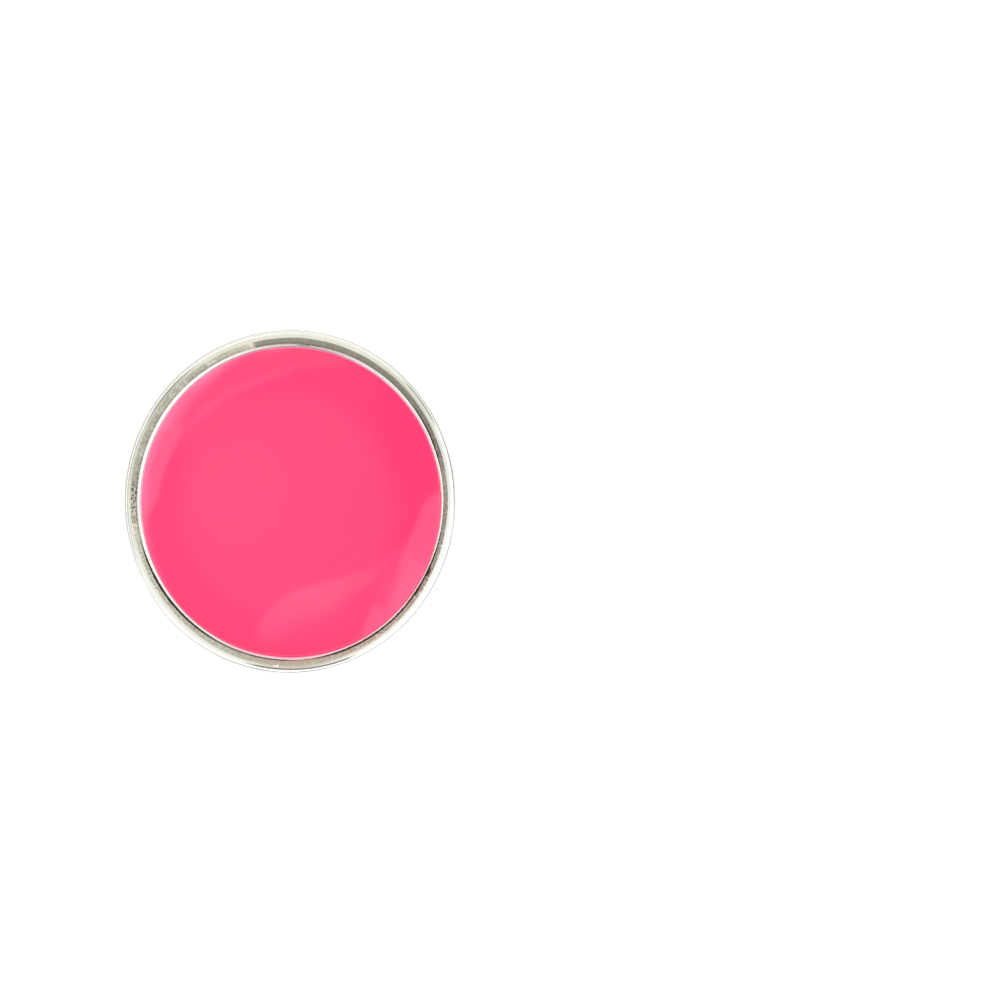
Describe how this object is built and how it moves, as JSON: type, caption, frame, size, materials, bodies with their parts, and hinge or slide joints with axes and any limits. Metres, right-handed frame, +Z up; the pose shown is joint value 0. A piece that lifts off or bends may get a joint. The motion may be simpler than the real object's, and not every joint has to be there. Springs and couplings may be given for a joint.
{
  "type": "enamel stud earring",
  "caption": "Round stud earring: a silver-tone cup with a raised rim holds a low dome of glossy pink enamel, on a straight post with a butterfly nut behind.",
  "frame": {"origin": "on the floor that the stud rests on, under the centre of its bounding box", "axes": "+X to the wearer's side of the face, across the disc and level; +Y away from the face, the way the post leans back; +Z up"},
  "size_m": [0.02, 0.0156, 0.0158],
  "materials": {
    "plated_cup": "bright silver-tone plating over a cast zinc alloy, smooth on the shoulder and finely pitted on the rim's inner land",
    "pink_enamel": "opaque hot-pink enamel, poured and glossy",
    "post_steel": "polished steel wire",
    "nut_steel": "bright plated strip"
  },
  "bodies": {
    "root": {"cup": "plated_cup", "enamel": "pink_enamel", "ear_post": "post_steel", "ear_nut": "nut_steel"}
  },
  "joints": []
}
